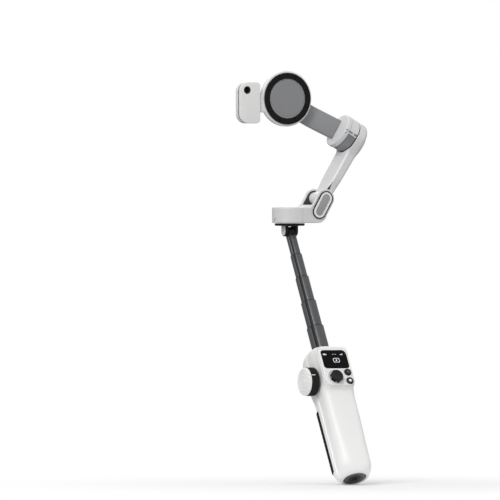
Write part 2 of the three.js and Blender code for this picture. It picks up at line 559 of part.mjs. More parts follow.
function addTracker(mount) {
  const lensY = LENS.rise - TRACKER.drop;
  const lensHole = roundPlate(LENS.radius + GAP, -1, TRACKER.plate + 2.6, 24).translate(LENS.x, lensY, 0);
  const layer = (margin, front, back) => cut(flatPlate(trackerOutline(margin), front, back), lensHole);
  place(mount, 'tracker_body', layer(0.6, TRACKER.plate + GAP, TRACKER.body), BLACK);
  place(mount, 'tracker_front', layer(0, TRACKER.plate - 1.9, TRACKER.plate), WHITE);
  place(mount, 'tracker_back', layer(0, TRACKER.body + GAP, TRACKER.back), WHITE);
  const barrel = ring(LENS.radius, 2, -TRACKER.plate - 2.2, -TRACKER.plate + 2.2, 24);
  place(mount, 'lens_ring', barrel.translate(LENS.x, lensY, 0), BLACK);
  const glass = roundPlate(1.7, TRACKER.plate - 1.4, TRACKER.plate + 1.6, 20);
  place(mount, 'lens', glass.translate(LENS.x, lensY, 0), GLASS);
}

// Assembly.

const stabilizer = new THREE.Group();

function frameAt(parent, position, rotation = [0, 0, 0]) {
  const frame = new THREE.Group();
  frame.position.set(...position);
  frame.rotation.set(...rotation.map((angle) => angle * RAD));
  parent.add(frame);
  return frame;
}

const handle = frameAt(stabilizer, [0, 0, 0], [-HANDLE_LEAN, 0, 0]);
addHandleShells(handle);
addGripParts(handle);
addPanel(handle);
addSideParts(handle);
addControls(handle);
addDial(handle);
addRod(handle);

const pivot = [0, PIVOT * Math.sin(HANDLE_LEAN * RAD), PIVOT * Math.cos(HANDLE_LEAN * RAD)];
addNeck(frameAt(stabilizer, pivot));

const pan = frameAt(stabilizer, [0, pivot[1], pivot[2] + HOUSING.bottom]);
addPan(pan);
const hinge = frameAt(pan, [HINGE.x, 0, HINGE.z], [0, LEAN, 0]);
addLowerArm(hinge);

// The tilt axis crosses the arm at the motor and the pan axis at the middle of the mount.
const tilt = frameAt(hinge, [0, 0, LOWER.length], [0, -90, 0]);
const motorX = HINGE.x + LOWER.length * outward.x;
const tiltReach = motorX / Math.cos(LEAN * RAD);
addUpperArm(tilt, tiltReach);

const centreHeight = HINGE.z + LOWER.length * outward.y + motorX * Math.tan(LEAN * RAD);
const roll = frameAt(pan, [0, 0, centreHeight], [90, 0, 0]);
addRollMotor(roll);
addMount(roll);
addTracker(roll);

export default stabilizer;
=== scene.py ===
"""A phone gimbal stabilizer: a handle with its controls, a telescopic rod, a neck, two folding
arms and a mount.

Pieces are drawn in millimetres in the frame of the part they belong to, then placed in metres around
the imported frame.
"""
import json
import math

import bmesh
import bpy
import numpy as np
from mathutils import Matrix, Vector

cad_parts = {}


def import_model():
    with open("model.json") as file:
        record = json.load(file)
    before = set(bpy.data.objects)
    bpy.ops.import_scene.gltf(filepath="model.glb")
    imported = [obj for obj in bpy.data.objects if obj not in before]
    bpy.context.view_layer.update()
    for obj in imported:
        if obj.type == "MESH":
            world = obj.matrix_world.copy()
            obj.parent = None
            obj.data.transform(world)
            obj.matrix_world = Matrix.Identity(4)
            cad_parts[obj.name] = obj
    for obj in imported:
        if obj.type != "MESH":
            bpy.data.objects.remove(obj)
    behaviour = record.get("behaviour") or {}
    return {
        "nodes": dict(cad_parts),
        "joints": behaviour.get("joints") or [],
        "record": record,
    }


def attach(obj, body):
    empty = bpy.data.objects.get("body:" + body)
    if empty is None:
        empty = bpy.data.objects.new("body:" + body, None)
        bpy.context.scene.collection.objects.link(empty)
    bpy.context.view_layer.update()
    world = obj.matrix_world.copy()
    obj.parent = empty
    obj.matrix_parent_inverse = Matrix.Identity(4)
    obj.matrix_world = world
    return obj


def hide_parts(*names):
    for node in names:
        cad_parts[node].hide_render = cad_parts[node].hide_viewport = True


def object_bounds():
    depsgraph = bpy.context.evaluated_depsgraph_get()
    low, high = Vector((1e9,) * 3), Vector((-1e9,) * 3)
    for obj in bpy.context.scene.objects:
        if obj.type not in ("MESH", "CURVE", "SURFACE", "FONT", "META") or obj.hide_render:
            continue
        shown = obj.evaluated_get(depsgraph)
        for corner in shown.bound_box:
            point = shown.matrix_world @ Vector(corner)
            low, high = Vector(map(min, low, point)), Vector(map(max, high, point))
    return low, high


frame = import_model()
cad_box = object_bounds()

# Frames. The handle's own frame has +Z along the handle and -Y to the user.

LEAN = math.radians(30)
MILLIMETRES = Matrix.Scale(0.001, 4)
JOINTS = {joint["name"]: joint for joint in frame["joints"]}


def frame_at(position, angle=0.0, axis="X"):
    """From millimetres in a part's own frame to metres in the row frame."""
    return Matrix.Translation(position) @ Matrix.Rotation(angle, 4, axis) @ MILLIMETRES


def pivot(joint):
    return Vector(JOINTS[joint]["pos_m"])


HANDLE = frame_at((0, 0, 0), -LEAN)
NECK = frame_at(pivot("neck_tilt"))
HOUSING_BOTTOM = 7.8
PAN = NECK @ Matrix.Translation((0, 0, HOUSING_BOTTOM))
LOWER_ARM = frame_at(pivot("fold"), LEAN, "Y")
UPPER_ARM = frame_at(pivot("tilt_turn"), LEAN - math.pi / 2, "Y")
MOUNT = frame_at(pivot("roll_turn"), math.pi / 2)
ARM_LENGTH = (pivot("tilt_turn") - pivot("fold")).length * 1000
ARM_REACH = (pivot("roll_turn") - pivot("tilt_turn")).length * 1000

# Meshes.


def to_object(name, mesh):
    piece = bpy.data.objects.new(name, mesh)
    bpy.context.scene.collection.objects.link(piece)
    return piece


def skin(loops, closed=False):
    """A body over loops of as many points each; its ends are capped unless the last loop meets the first."""
    count = len(loops[0])
    vertices = [tuple(point) for loop in loops for point in loop]
    faces = []
    spans = len(loops) if closed else len(loops) - 1
    for i in range(spans):
        here = i * count
        there = ((i + 1) % len(loops)) * count
        for j in range(count):
            k = (j + 1) % count
            faces.append((here + j, here + k, there + k, there + j))
    if not closed:
        faces.append(tuple(reversed(range(count))))
        last = (len(loops) - 1) * count
        faces.append(tuple(range(last, last + count)))
    mesh = bpy.data.meshes.new("form")
    mesh.from_pydata(vertices, [], faces)
    tidy = bmesh.new()
    tidy.from_mesh(mesh)
    bmesh.ops.remove_doubles(tidy, verts=tidy.verts, dist=1e-4)
    bmesh.ops.dissolve_degenerate(tidy, dist=1e-4, edges=tidy.edges)
    bmesh.ops.recalc_face_normals(tidy, faces=tidy.faces)
    tidy.to_mesh(mesh)
    tidy.free()
    return to_object("form", mesh)


def settle(piece):
    """Applies the piece's modifiers to its mesh."""
    bpy.context.view_layer.update()
    shaped = piece.evaluated_get(bpy.context.evaluated_depsgraph_get())
    mesh = bpy.data.meshes.new_from_object(shaped)
    piece.modifiers.clear()
    piece.data = mesh
    return piece


def combine(operation, piece, others):
    for other in others:
        step = piece.modifiers.new("boolean", "BOOLEAN")
        step.operation = operation
        step.solver = "EXACT"
        step.object = other
        settle(piece)
        bpy.data.objects.remove(other)
    return piece


def carve(piece, *cutters):
    return combine("DIFFERENCE", piece, cutters)


def unite(piece, *others):
    return combine("UNION", piece, others)


def soften_edges(piece, width=0.3, angle=40, segments=2):
    step = piece.modifiers.new("bevel", "BEVEL")
    step.width = width
    step.segments = segments
    step.limit_method = "ANGLE"
    step.angle_limit = math.radians(angle)
    step.use_clamp_overlap = True
    return settle(piece)


def remesh(piece, voxel, passes, strength=0.5):
    """One even skin over joined forms, with its corners rounded."""
    step = piece.modifiers.new("remesh", "REMESH")
    step.mode = "VOXEL"
    step.voxel_size = voxel
    smooth = piece.modifiers.new("smooth", "SMOOTH")
    smooth.factor = strength
    smooth.iterations = passes
    return settle(piece)


def join_forms(*forms):
    """Puts separate closed forms into one object, ready for a remesh."""
    merged = bmesh.new()
    for form in forms:
        form.data.transform(form.matrix_world)
        merged.from_mesh(form.data)
        bpy.data.objects.remove(form)
    mesh = bpy.data.meshes.new("form")
    merged.to_mesh(mesh)
    merged.free()
    return to_object("form", mesh)


def turn(piece, matrix):
    piece.data.transform(matrix)
    if matrix.determinant() < 0:
        piece.data.flip_normals()
    return piece


TO_X = Matrix.Rotation(math.pi / 2, 4, "Y")
TO_Y = Matrix.Rotation(-math.pi / 2, 4, "X")
TO_FRONT = Matrix.Rotation(math.pi / 2, 4, "X")


def shifted(x=0.0, y=0.0, z=0.0):
    return Matrix.Translation((x, y, z))


# Outlines are functions of how far they grow, and give points counter-clockwise.

ARC_STEPS = 10


def arc(x, y, radius, start, end, steps=ARC_STEPS):
    angles = (start + (end - start) * i / steps for i in range(steps + 1))
    return [(x + radius * math.cos(a), y + radius * math.sin(a)) for a in angles]


def rounded(width, height, radius, x=0.0, y=0.0, corners=(1, 1, 1, 1)):
    """A rectangle with rounded corners; corners scales their radii, from the top right round."""
    places = ((1, 1), (-1, 1), (-1, -1), (1, -1))

    def outline(grow=0.0):
        points = []
        for i, (right, up) in enumerate(places):
            own = max(radius * corners[i] + grow, 0.02)
            middle_x = x + right * (width / 2 + grow - own)
            middle_y = y + up * (height / 2 + grow - own)
            points += arc(middle_x, middle_y, own, i * math.pi / 2, (i + 1) * math.pi / 2)
        return points

    return outline


def fixed(points):
    """An outline that doesn't grow."""
    return lambda grow=0.0: points


def circle(radius, x=0.0, y=0.0, steps=64):
    return lambda grow=0.0: arc(x, y, radius + grow, 0, 2 * math.pi * (1 - 1 / steps), steps - 1)


def quarter(radius, steps=4):
    """(how far in, how far down) round a rounded edge, from the side to the face."""
    angles = (math.pi / 2 * i / steps for i in range(steps + 1))
    return [(radius * (1 - math.cos(a)), radius * (1 - math.sin(a))) for a in angles]


def plate(outline, low, high, top=0.4, bottom=None):
    """An outline given thickness, with rounded edges."""
    bottom = top if bottom is None else bottom
    loops = [[(x, y, low + down) for x, y in outline(-inward)] for inward, down in reversed(quarter(bottom))]
    loops += [[(x, y, high - down) for x, y in outline(-inward)] for inward, down in quarter(top)]
    return skin(loops)


def band(outer, inner, low, high, top=0.3, bottom=None):
    """A plate with a hole of the same kind of outline."""
    bottom = top if bottom is None else bottom
    outside = [[(x, y, low + down) for x, y in outer(-inward)] for inward, down in reversed(quarter(bottom))]
    outside += [[(x, y, high - down) for x, y in outer(-inward)] for inward, down in quarter(top)]
    inside = [[(x, y, high - down) for x, y in inner(inward)] for inward, down in reversed(quarter(top))]
    inside += [[(x, y, low + down) for x, y in inner(inward)] for inward, down in quarter(bottom)]
    return skin(outside + inside, closed=True)


def round_corner(before, corner, after, radius, steps=5):
    """Points of a smooth bend in place of a corner."""
    corner = Vector(corner)
    back = Vector(before) - corner
    ahead = Vector(after) - corner
    reach = min(radius, back.length * 0.45, ahead.length * 0.45)
    start = corner + back.normalized() * reach
    end = corner + ahead.normalized() * reach
    points = []
    for i in range(steps + 1):
        t = i / steps
        points.append(tuple((1 - t) ** 2 * start + 2 * t * (1 - t) * corner + t ** 2 * end))
    return points


def lathe(profile, radius=0.4, segments=96):
    """A turned piece about Z from (radius, height) points; corners off the axis are rounded."""
    count = len(profile)
    ring = all(r > 0 for r, _ in profile)
    path = []
    for i, (r, z) in enumerate(profile):
        at_end = not ring and i in (0, count - 1)
        if r == 0 or at_end:
            path.append((max(r, 0.0), z))
        else:
            path += round_corner(profile[i - 1], (r, z), profile[(i + 1) % count], radius)
    loops = []
    for r, z in path:
        loops.append([(r * math.cos(a), r * math.sin(a), z) for a in angles_round(segments)])
    return skin(loops, closed=ring)


def angles_round(count):
    return [2 * math.pi * i / count for i in range(count)]


def rod(radius, low, high, edge=0.3, segments=64):
    return lathe([(0, low), (radius, low), (radius, high), (0, high)], edge, segments)


def tube(outer, inner, low, high, edge=0.3, segments=96):
    return lathe([(inner, low), (outer, low), (outer, high), (inner, high)], edge, segments)


def block(x, y, z, edge=0.3):
    width = x[1] - x[0]
    depth = y[1] - y[0]
    return plate(rounded(width, depth, edge, (x[0] + x[1]) / 2, (y[0] + y[1]) / 2), z[0], z[1], edge)


# Smooth bodies. A field is negative inside; a body is found from its middle line outwards.


def box_field(x, y, half_x, half_y, radius):
    over_x = np.abs(x) - half_x + radius
    over_y = np.abs(y) - half_y + radius
    outside = np.hypot(np.maximum(over_x, 0), np.maximum(over_y, 0))
    return outside + np.minimum(np.maximum(over_x, over_y), 0) - radius


def rounded_both(first, second, radius):
    """Where both fields are inside, with a rounded edge between them."""
    a = first + radius
    b = second + radius
    return np.minimum(np.maximum(a, b), 0) + np.hypot(np.maximum(a, 0), np.maximum(b, 0)) - radius


def blended(first, second, reach):
    """Where either field is inside, with a fillet where they meet."""
    share = np.clip(0.5 + 0.5 * (second - first) / reach, 0, 1)
    return second + (first - second) * share - reach * share * (1 - share)


def ease(value, start, end):
    t = np.clip((value - start) / (end - start), 0, 1)
    return t * t * (3 - 2 * t)


def solve(field, rows, directions, middle_of=lambda z: (0.0, 0.0), reach=60.0):
    """The skin of a field, row by row along Z, in each direction from the middle line."""
    across = np.array(directions)
    loops = []
    for z in rows:
        middle = middle_of(z)
        low = np.zeros(len(across))
        high = np.full(len(across), reach)
        for _ in range(28):
            half = (low + high) / 2
            inside = field(middle[0] + half * across[:, 0], middle[1] + half * across[:, 1], z) < 0
            low = np.where(inside, half, low)
            high = np.where(inside, high, half)
        loops.append([(middle[0] + r * c, middle[1] + r * s, z) for r, (c, s) in zip(low, across)])
    return skin(loops)


def rows_between(*stops):
    """Heights from (height, steps) stops: each stretch is shared into its own number of steps."""
    rows = []
    for (start, _), (end, steps) in zip(stops, stops[1:]):
        rows += [start + (end - start) * i / steps for i in range(steps)]
    return rows + [stops[-1][0]]


def round_rows(end, inner, steps):
    """Heights that crowd towards a rounded end."""
    return [end + (inner - end) * (1 - math.cos(math.pi / 2 * i / steps)) for i in range(steps)]


# Materials.


def linked(tree, kind, **settings):
    node = tree.nodes.new(kind)
    for key, value in settings.items():
        if hasattr(node, key):
            setattr(node, key, value)
        else:
            node.inputs[key.replace("_", " ")].default_value = value
    return node


def material(name, colour, roughness, metallic=0.0, grain=2600, bump=0.06, mottle=0.03, spread=0.06,
             stretch=None, coat=0.0, speckle=0.0, specular=0.5):
    """A moulded, painted or anodised finish: fine surface grain, slow changes of tone and of gloss."""
    made = bpy.data.materials.new(name)
    made.use_nodes = True
    tree = made.node_tree
    surface = tree.nodes["Principled BSDF"]
    surface.inputs["Metallic"].default_value = metallic
    surface.inputs["Coat Weight"].default_value = coat
    surface.inputs["Specular IOR Level"].default_value = specular
    surface.inputs["Coat Roughness"].default_value = 0.2
    place = linked(tree, "ShaderNodeTexCoord").outputs["Object"]
    if stretch:
        mapping = linked(tree, "ShaderNodeMapping")
        mapping.inputs["Rotation"].default_value = stretch[0]
        mapping.inputs["Scale"].default_value = stretch[1]
        tree.links.new(place, mapping.inputs["Vector"])
        place = mapping.outputs["Vector"]
    fine = linked(tree, "ShaderNodeTexNoise", Scale=grain, Detail=3.0)
    slow = linked(tree, "ShaderNodeTexNoise", Scale=55.0, Detail=4.0)
    for noise in (fine, slow):
        tree.links.new(place, noise.inputs["Vector"])
    raised = linked(tree, "ShaderNodeBump", Strength=bump, Distance=0.0002)
    tree.links.new(fine.outputs["Fac"], raised.inputs["Height"])
    tree.links.new(raised.outputs["Normal"], surface.inputs["Normal"])
    gloss = linked(tree, "ShaderNodeMapRange")
    gloss.inputs["To Min"].default_value = roughness - spread
    gloss.inputs["To Max"].default_value = roughness + spread
    tree.links.new(slow.outputs["Fac"], gloss.inputs["Value"])
    tree.links.new(gloss.outputs["Result"], surface.inputs["Roughness"])
    tone = linked(tree, "ShaderNodeMix", data_type="RGBA")
    tone.inputs[6].default_value = (*[c * (1 - mottle) for c in colour], 1)
    tone.inputs[7].default_value = (*[min(c * (1 + mottle), 1) for c in colour], 1)
    tree.links.new(slow.outputs["Fac"], tone.inputs[0])
    shade = tone.outputs[2]
    if speckle:
        flakes = linked(tree, "ShaderNodeTexVoronoi", Scale=3800.0)
        tree.links.new(place, flakes.inputs["Vector"])
        spark = linked(tree, "ShaderNodeMapRange")
        spark.inputs["To Min"].default_value = 1 + speckle
        spark.inputs["To Max"].default_value = 1 - speckle
        tree.links.new(flakes.outputs["Distance"], spark.inputs["Value"])
        scaled = linked(tree, "ShaderNodeMix", data_type="RGBA", blend_type="MULTIPLY")
        scaled.inputs[0].default_value = 1.0
        tree.links.new(shade, scaled.inputs[6])
        tree.links.new(spark.outputs["Result"], scaled.inputs[7])
        shade = scaled.outputs[2]
    tree.links.new(shade, surface.inputs["Base Color"])
    return made


ALONG_HANDLE = ((LEAN, 0, 0), (1, 1, 0.02))

FINISH = {
    "white_shell": material("white_shell", (0.9, 0.9, 0.893), 0.4, grain=3200, bump=0.05, mottle=0.012,
                            coat=0.12),
    "silver_shell": material("silver_shell", (0.78, 0.782, 0.79), 0.42, 0.1, grain=3600, bump=0.05,
                             speckle=0.05),
    "grey_arm": material("grey_arm", (0.3, 0.302, 0.312), 0.42, 0.3, grain=3000, bump=0.07, speckle=0.06),
    "rod_grey": material("rod_grey", (0.115, 0.117, 0.122), 0.36, 0.6, grain=1500, bump=0.1,
                         stretch=ALONG_HANDLE),
    "black_plastic": material("black_plastic", (0.011, 0.011, 0.012), 0.42, grain=2400, bump=0.12, mottle=0.1,
                              specular=0.25),
    "black_rubber": material("black_rubber", (0.009, 0.009, 0.0095), 0.78, grain=1600, bump=0.3, mottle=0.15,
                             specular=0.2),
    "display_glass": material("display_glass", (0.002, 0.002, 0.0022), 0.12, grain=300, bump=0.01,
                              spread=0.02, specular=0.12),
    "steel": material("steel", (0.5, 0.5, 0.51), 0.28, 1.0, grain=900, bump=0.08),
    "board_green": material("board_green", (0.012, 0.075, 0.032), 0.5, grain=700, bump=0.2, mottle=0.25),
    "cell_blue": material("cell_blue", (0.04, 0.07, 0.15), 0.35, grain=500, bump=0.05, mottle=0.1, coat=0.3),
}


def lit(name, colour, strength):
    made = material(name, colour, 0.4)
    surface = made.node_tree.nodes["Principled BSDF"]
    surface.inputs["Emission Color"].default_value = (*colour, 1)
    surface.inputs["Emission Strength"].default_value = strength
    return made


SCREEN_MARK = lit("screen_mark", (0.75, 0.8, 0.85), 0.5)
PAINT_MARK = material("paint_mark", (0.35, 0.35, 0.34), 0.5, grain=900, bump=0.1)
CREAM_MARK = material("cream_mark", (0.8, 0.78, 0.62), 0.45, grain=900, bump=0.1)
INLAY_GREY = material("inlay_grey", (0.4, 0.402, 0.41), 0.38, 0.3, grain=3000, bump=0.06, speckle=0.04)
CAP_GREY = material("cap_grey", (0.12, 0.121, 0.125), 0.5, 0.1, grain=2400, bump=0.1, mottle=0.08)
DARK_GREY = material("dark_grey", (0.045, 0.046, 0.049), 0.5, 0.2, grain=2400, bump=0.1, mottle=0.08)

for part in frame["record"]["subparts"]:
    carried = frame["nodes"][part["node"]].data
    carried.materials.clear()
    carried.materials.append(FINISH[part["material_slot"]])

SLOT_OF = {part["node"]: part["material_slot"] for part in frame["record"]["subparts"]}
BODY_OF = {node: body for body, nodes in frame["record"]["behaviour"]["bodies"].items() for node in nodes}


def show(form, place, *nodes, name=None, finish=None, sharp=38, body=None, slot=None):
    """Puts a drawn form in its place as the visible piece of its CAD nodes."""
    piece = form
    piece.name = name or nodes[0] + "_look"
    piece.data.name = piece.name
    piece.data.transform(place)
    piece.data.materials.clear()
    kind = slot or SLOT_OF[nodes[0]]
    piece.data.materials.append(finish or FINISH[kind])
    piece.data.shade_smooth()
    piece.data.set_sharp_from_angle(angle=math.radians(sharp))
    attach(piece, body or BODY_OF[nodes[0]])
    if nodes:
        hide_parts(*nodes)
    return piece


# Handle: the grip, the head and the raised front of the control panel flow into each other.

GRIP_HALF = (17.0, 15.5)
HEAD_HALF_WIDTH = 18.0
HEAD_BACK = 16.0
HEAD_FRONT = -17.6
HEAD_TOP = 131.0
PANEL_FRONT = -20.4
PANEL = rounded(30, 41, 5, 0, 107.5, (0.9, 0.9, 1.35, 1.0))
WALL = 2.2
SPLIT = 7.0


def head_field(x, y, z, grow):
    end = np.clip(1 - z / 10, 0, 1)
    inset = 5.0 * (1 - np.sqrt(1 - end ** 2))
    rise = ease(z, 78, 96)
    half_width = GRIP_HALF[0] + (HEAD_HALF_WIDTH - GRIP_HALF[0]) * rise
    front = -GRIP_HALF[1] + (HEAD_FRONT + GRIP_HALF[1]) * rise
    back = GRIP_HALF[1] + (HEAD_BACK - GRIP_HALF[1]) * rise
    crease = 7.2 + 3.0 * (1 - ease(z, 10, 70)) + 3.5 * ease(z, 84, 96)
    corner = np.where(y < 0, crease, 12.0 - 2.5 * rise)
    corner = corner + (15.4 - corner) * end
    side = box_field(x, y - (front + back) / 2, half_width, (back - front) / 2, corner) + inset
    bulge = 0.9 * (x / half_width) ** 2 * (y < 0)
    round_top = 4.0 + 5.0 * ease(y, -2, 14)
    return rounded_both(side + bulge - grow, z - HEAD_TOP - grow, round_top)


def boss_field(x, y, z, grow):
    """The raised front round the control panel."""
    radius = np.where(z < 107, 7.0, 5.0)
    face = box_field(x, z - 107.5, 15.9 + grow, 21.4 + grow, radius)
    front = rounded_both(face, PANEL_FRONT + 1.0 - grow - y, 1.6)
    return np.maximum(front, y)


def handle_field(grow=0.0):
    return lambda x, y, z: blended(head_field(x, y, z, grow), boss_field(x, y, z, grow), 3.2)


HANDLE_ROWS = (round_rows(0.001, 10, 12) + rows_between((10, 0), (80, 20), (90, 26), (121, 20))
               + list(reversed(round_rows(HEAD_TOP - 0.001, 121, 18))))


def handle_shells():
    directions = [(math.cos(a), math.sin(a)) for a in angles_round(176)]
    whole = solve(handle_field(), HANDLE_ROWS, directions, lambda z: (0, -1))
    inner_rows = rows_between((WALL, 0), (80, 20), (90, 10), (HEAD_TOP - WALL, 12))
    hollow = solve(handle_field(-WALL), inner_rows, directions[::4], lambda z: (0, -1))
    carve(whole, hollow)
    carve(whole, rod(10.9, -1, 9, 0), rod(9.9, 77, 140, 0))
    opening = turn(plate(panel_outline(0.25), 15, 26, 0), TO_FRONT)
    dial_hole = turn(rod(2.8, -40, -10, 0), shifted(0, -4, 100) @ TO_X)
    recess = turn(plate(rounded(9.8, 27.2, 4.89), 16.5, 30, 0), shifted(0, -2, 106) @ SIDEWAYS)
    ports = turn(plate(rounded(7.6, 25, 3.79), 8, 30, 0), shifted(0, -2, 106) @ SIDEWAYS)
    trigger_hole = turn(plate(rounded(9.8, 13.8, 4, 0, 97), -30, -10, 0), TO_FRONT)
    carve(whole, opening, dial_hole, recess, ports, trigger_hole)
    rear = to_object("rear", whole.data.copy())
    carve(whole, block((-40, 40), (SPLIT - 0.08, 60), (-20, 160), 0))
    carve(rear, block((-40, 40), (-60, SPLIT + 0.08), (-20, 160), 0))
    show(whole, HANDLE, "front_shell")
    show(rear, HANDLE, "rear_shell")


def panel_outline(grow):
    return lambda more=0.0: PANEL(grow + more)


# An outline drawn with X back and Y up, pushed out to the right side of the head.
SIDEWAYS = Matrix(((0, 0, 1, 0), (1, 0, 0, 0), (0, 1, 0, 0), (0, 0, 0, 1)))


def grip_pad():
    """A ribbed rubber strip over the back of the grip."""
    low, high = 10.0, 74.0
    rows = rows_between((low, 0), (low + 2, 6), (high - 2, 62), (high, 6))
    angles = [math.radians(18 + (162 - 18) * i / 60) for i in range(61)]
    directions = [(math.cos(a), math.sin(a)) for a in angles]
    outer = handle_field()
    loops = []
    for z in rows:
        fade = min((z - low) / 1.6, (high - z) / 1.6, 1)
        lift = 0.3 + 0.9 * math.sin(math.pi / 2 * max(fade, 0))
        for_rib = 0.18 * (0.5 + 0.5 * math.cos(2 * math.pi * z / 4.2)) ** 4
        distances = [radial(outer, c, s, z) for c, s in directions]
        skin_points = []
        for i, (distance, (c, s)) in enumerate(zip(distances, directions)):
            edge = min(i, 60 - i) / 5
            thick = lift * math.sin(math.pi / 2 * min(edge, 1)) - for_rib * min(edge, 1)
            skin_points.append(((distance + max(thick, 0.02)) * c, -1 + (distance + max(thick, 0.02)) * s, z))
        back = [((d - 0.25) * c, -1 + (d - 0.25) * s, z) for d, (c, s) in zip(distances, directions)]
        loops.append(skin_points + back[::-1])
    show(skin(loops), HANDLE, "grip_pad", sharp=60)


def radial(field, c, s, z):
    low, high = 0.0, 60.0
    for _ in range(26):
        half = (low + high) / 2
        inside = field(np.array(half * c), np.array(-1 + half * s), z) < 0
        low, high = (half, high) if inside else (low, half)
    return low


def bottom_parts():
    ring = [(5.8, 0.25), (6.6, 0), (9.6, 0), (10.6, 0.5), (10.6, 2.4), (5.8, 2.4)]
    show(lathe(ring, 0.35), HANDLE, "bottom_cap", finish=CAP_GREY)
    thread = [(5.5, 0), (5.5, 6), (2.8, 6)]
    turns = 8
    for i in range(turns):
        z = 5.6 - 5.0 * i / turns
        thread += [(2.72, z), (3.1, z - 0.3)]
    thread.append((2.9, 0))
    show(lathe(thread, 0.12, 64), HANDLE, "tripod_socket", finish=DARK_GREY)
    guide = [(8.3, 78.5), (9.5, 78.5), (9.5, 130.6), (9.3, 131.0), (8.5, 131.0), (8.3, 130.7)]
    show(lathe(guide, 0.25), HANDLE, "rod_guide")


DISPLAY = rounded(26, 19, 3.4, 0, 114.5, (1.35, 0.9, 0.9, 0.9))
JOYSTICK = (-4.0, 95.5)
BUTTON_X = 9.6
MODE_Z = 100.6
SHUTTER_Z = 91.6
BUTTON_RADIUS = 3.3


def on_panel(piece, x, z, height=0.0):
    """A piece drawn along +Z stands on the panel's face, towards the user."""
    return turn(piece, shifted(x, PANEL_FRONT - height, z) @ TO_FRONT)


def control_panel():
    face = -PANEL_FRONT
    panel = turn(plate(PANEL, face - 2.6, face, 1.0, 0.2), TO_FRONT)
    pocket = turn(plate(lambda grow=0.0: DISPLAY(0.2 + grow), face - 1.1, face + 5, 0), TO_FRONT)
    well = on_panel(rod(5.7, -9, 9, 0), *JOYSTICK)
    holes = [on_panel(rod(BUTTON_RADIUS + 0.25, -9, 9, 0), BUTTON_X, z) for z in (MODE_Z, SHUTTER_Z)]
    carve(panel, pocket, well, *holes)
    soften_edges(panel, 0.16, 55)
    show(panel, HANDLE, "control_panel")
    glass = turn(plate(DISPLAY, face - 0.8, face + 0.06, 0.3, 0.1), TO_FRONT)
    show(glass, HANDLE, "display_window")
    bezel = lathe([(7.0, 0.2), (8.4, 0.2), (8.4, 0.45), (7.9, 0.72), (7.4, 0.55), (7.0, 0.3)], 0.15)
    show(on_panel(bezel, *JOYSTICK), HANDLE, "joystick_bezel")


def screen_marks():
    """Generic signs on the display: a battery, dots, level bars and a framing mark."""
    top = 0.075

    def mark(outline, hole=None):
        if hole:
            return turn(band(outline, hole, -PANEL_FRONT + top, -PANEL_FRONT + top + 0.03, 0), TO_FRONT)
        return turn(plate(outline, -PANEL_FRONT + top, -PANEL_FRONT + top + 0.03, 0), TO_FRONT)

    marks = [mark(rounded(3.2, 1.6, 0.35, -9.6, 119.6), rounded(2.8, 1.2, 0.2, -9.6, 119.6)),
             mark(rounded(1.7, 0.8, 0.1, -9.9, 119.6)), mark(rounded(0.3, 0.7, 0.1, -7.7, 119.6))]
    marks += [mark(circle(0.28, x, 119.6, 20)) for x in (-1.4, 0.2, 1.8)]
    marks += [mark(rounded(0.4, 0.5 + 0.35 * i, 0.1, 6.2 + 0.8 * i, 119.1 + 0.18 * i)) for i in range(4)]
    marks.append(mark(rounded(6.4, 4.4, 1.0, 1.2, 113.4), rounded(5.5, 3.5, 0.7, 1.2, 113.4)))
    marks.append(mark(circle(0.75, 1.2, 113.4, 28)))
    show(join_forms(*marks), HANDLE, name="screen_marks", finish=SCREEN_MARK, body="handle",
         slot="display_glass")


def controls():
    cap = [(0, -4.8), (2, -4.8), (2, 2.2), (5.3, 2.3), (6, 2.9), (6, 3.7), (5.1, 4.4), (4.2, 4.2),
           (2.2, 3.75), (0, 3.7)]
    stick = lathe(cap, 0.4)
    grooves = []
    for i in range(12):
        bar = turn(rod(0.28, 4.4, 6.2, 0.05, 12), TO_X)
        grooves.append(turn(bar, Matrix.Rotation(2 * math.pi * i / 12, 4, "Z") @ shifted(0, 0, 4.35)))
    carve(stick, *grooves)
    show(on_panel(stick, *JOYSTICK), HANDLE, "joystick_cap", sharp=30)
    mode = [(0, -2.2), (3.3, -2.2), (3.3, 1.0), (2.9, 1.4), (1.6, 1.32), (0, 1.28)]
    show(on_panel(lathe(mode, 0.3, 64), BUTTON_X, MODE_Z), HANDLE, "mode_button")
    square = band(rounded(1.9, 1.9, 0.5), rounded(1.4, 1.4, 0.3), 1.33, 1.37, 0)
    show(on_panel(square, BUTTON_X, MODE_Z), HANDLE, name="mode_mark", finish=PAINT_MARK, body="mode_button",
         slot="black_plastic")
    shutter = [(0, -2.2), (3.3, -2.2), (3.3, 1.1), (3.0, 1.4), (2.3, 1.3), (1.7, 0.8), (0, 0.8)]
    show(on_panel(lathe(shutter, 0.25, 64), BUTTON_X, SHUTTER_Z), HANDLE, "shutter_button")
    dot = [(0, 0.85), (1.5, 0.85), (1.5, 1.25), (1.1, 1.5), (0, 1.6)]
    show(on_panel(lathe(dot, 0.25, 48), BUTTON_X, SHUTTER_Z), HANDLE, "shutter_dot")


